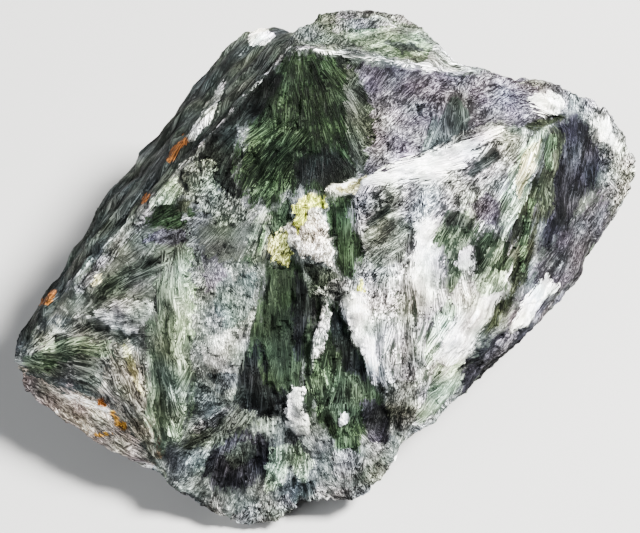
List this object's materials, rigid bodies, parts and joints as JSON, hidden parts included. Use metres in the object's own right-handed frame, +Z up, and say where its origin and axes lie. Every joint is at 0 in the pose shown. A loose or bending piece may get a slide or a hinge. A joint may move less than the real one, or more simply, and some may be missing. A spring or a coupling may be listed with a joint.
{
  "type": "rough seraphinite specimen",
  "caption": "Rough wedge-shaped lump of green and silver seraphinite with a broad feathered face, resting on a small flat spot.",
  "frame": {"origin": "level with the flat spot that the lump rests on, under the middle of the lump's bounding box", "axes": "+Z up from the flat spot, +X to the right along the lump's longest extent, -Y towards the front, where the broad feathered face leans back from"},
  "size_m": [0.0648, 0.0496, 0.034],
  "materials": {
    "seraphinite": "rough broken stone with silky feathery fibres, dark green, silver white and lavender grey"
  },
  "bodies": {
    "root": {"stone": "seraphinite"}
  },
  "joints": []
}
